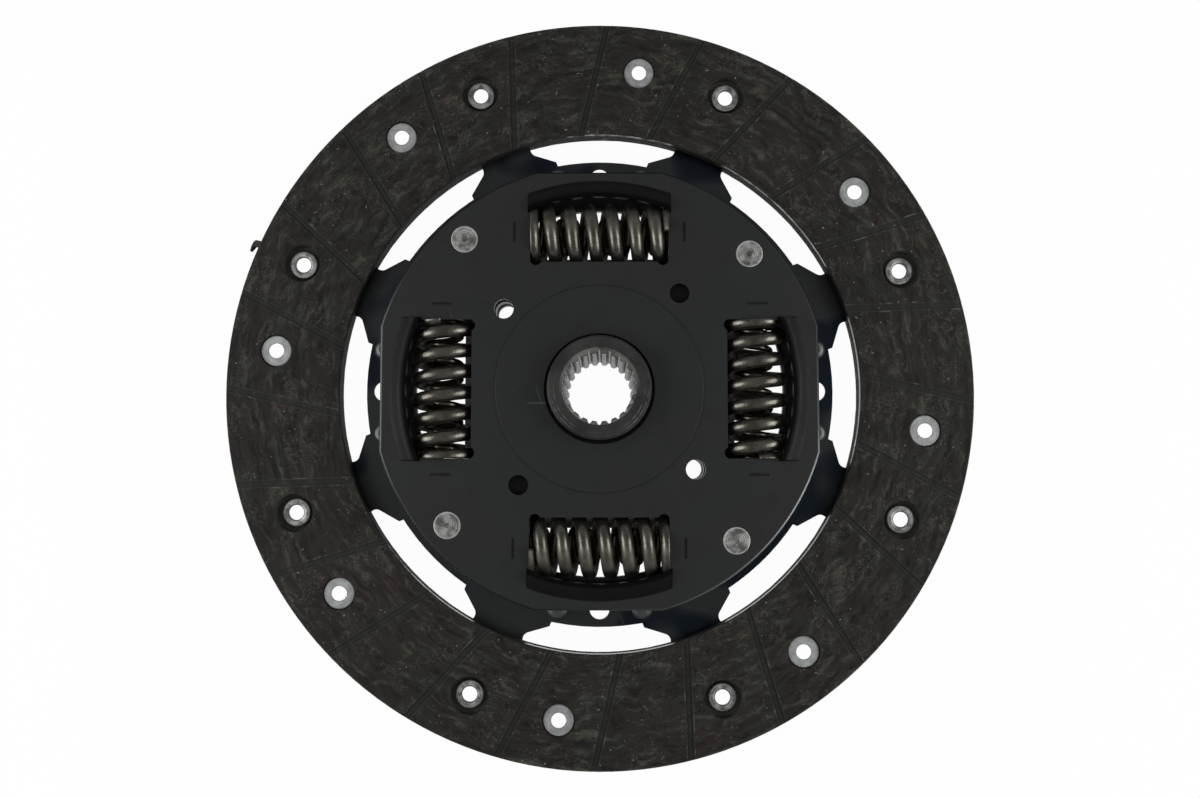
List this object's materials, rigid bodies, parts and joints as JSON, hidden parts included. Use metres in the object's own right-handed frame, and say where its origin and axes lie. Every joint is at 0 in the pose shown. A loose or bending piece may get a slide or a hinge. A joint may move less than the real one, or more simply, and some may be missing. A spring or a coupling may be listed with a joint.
{
  "type": "clutch disc",
  "caption": "Sprung clutch disc: two riveted ring facings on a waved carrier, side plates holding coil springs, and a splined hub that twists against them.",
  "frame": {"origin": "centre of the hub's rear end, on the hub's axis, where the disc stands on a flat surface", "axes": "+Z along the hub from its rear end out of the pictured front side; +X to the right and +Y up in the picture"},
  "size_m": [0.2, 0.2, 0.034],
  "materials": {
    "friction_lining": "moulded friction material, matt, mottled",
    "carrier_steel": "blued spring steel, satin",
    "plate_steel": "black oxide, satin",
    "rivet_steel": "plated, satin",
    "pin_steel": "turned, bare",
    "hub_steel": "phosphated forging, matt",
    "spring_steel": "oiled spring wire, glossy",
    "washer_steel": "rolled sheet, satin",
    "ring_lining": "friction composite, matt",
    "bush_plastic": "moulded bearing plastic, satin"
  },
  "bodies": {
    "disc": {"front_facing": "friction_lining", "rear_facing": "friction_lining", "carrier_disc": "carrier_steel", "front_facing_rivets": "rivet_steel", "rear_facing_rivets": "rivet_steel", "front_side_plate": "plate_steel", "rear_side_plate": "plate_steel", "carrier_rivets": "plate_steel", "stop_pin_1": "pin_steel", "stop_pin_2": "pin_steel", "stop_pin_3": "pin_steel", "stop_pin_4": "pin_steel", "friction_ring": "ring_lining", "support_washer": "washer_steel", "disc_spring": "washer_steel", "rear_bush": "bush_plastic"},
    "hub": {"hub": "hub_steel"},
    "springs": {"spring_1": "spring_steel", "spring_2": "spring_steel", "spring_3": "spring_steel", "spring_4": "spring_steel", "inner_spring_1": "spring_steel", "inner_spring_2": "spring_steel", "inner_spring_3": "spring_steel", "inner_spring_4": "spring_steel"}
  },
  "joints": [
    {"name": "hub_twist", "type": "hinge", "parent": "disc", "child": "hub", "pos_m": [0, 0, 0.022], "axis": [0, 0, 1], "range_deg": [-7, 7], "stiffness_Nm_per_rad": 730, "deforming": ["spring_1", "spring_2", "spring_3", "spring_4", "inner_spring_1", "inner_spring_2", "inner_spring_3", "inner_spring_4"]},
    {"name": "spring_follow", "type": "hinge", "parent": "disc", "child": "springs", "pos_m": [0, 0, 0.022], "axis": [0, 0, 1], "range_deg": [-3.5, 3.5]}
  ],
  "couplings": [
    {"joint": "spring_follow", "follows": "hub_twist", "ratio": 0.5}
  ]
}
